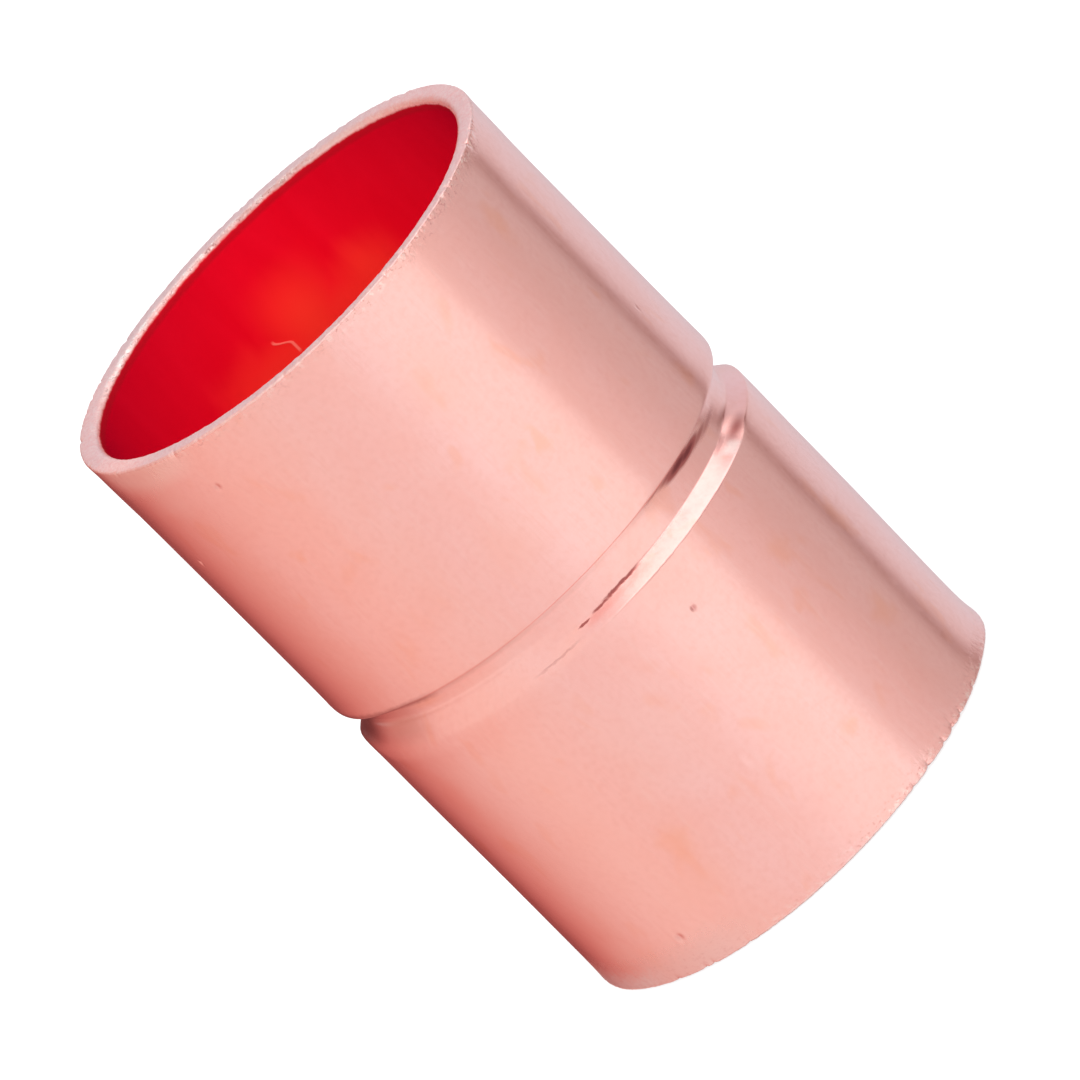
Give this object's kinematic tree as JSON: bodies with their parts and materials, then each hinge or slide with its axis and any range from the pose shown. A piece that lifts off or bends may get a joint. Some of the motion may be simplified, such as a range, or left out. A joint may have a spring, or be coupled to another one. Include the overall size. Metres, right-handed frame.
{
  "type": "copper capillary tube coupling",
  "caption": "Straight copper capillary coupling: a plain socket at each end for a copper tube, and a rolled groove round the middle that raises the inner tube stop.",
  "frame": {"origin": "centre of the rolled tube stop, on the tube axis", "axes": "+Z along the tube axis, out of one of the two equal sockets; X and Y are any two directions across it"},
  "size_m": [0.0242, 0.0242, 0.0356],
  "materials": {
    "annealed_copper": "annealed and pickled wrought copper, satin salmon pink with faint drawing lines; bright bare metal on the cut rims; deep red by its own reflections inside the bore"
  },
  "bodies": {
    "root": {"coupling_body": "annealed_copper"}
  },
  "joints": []
}
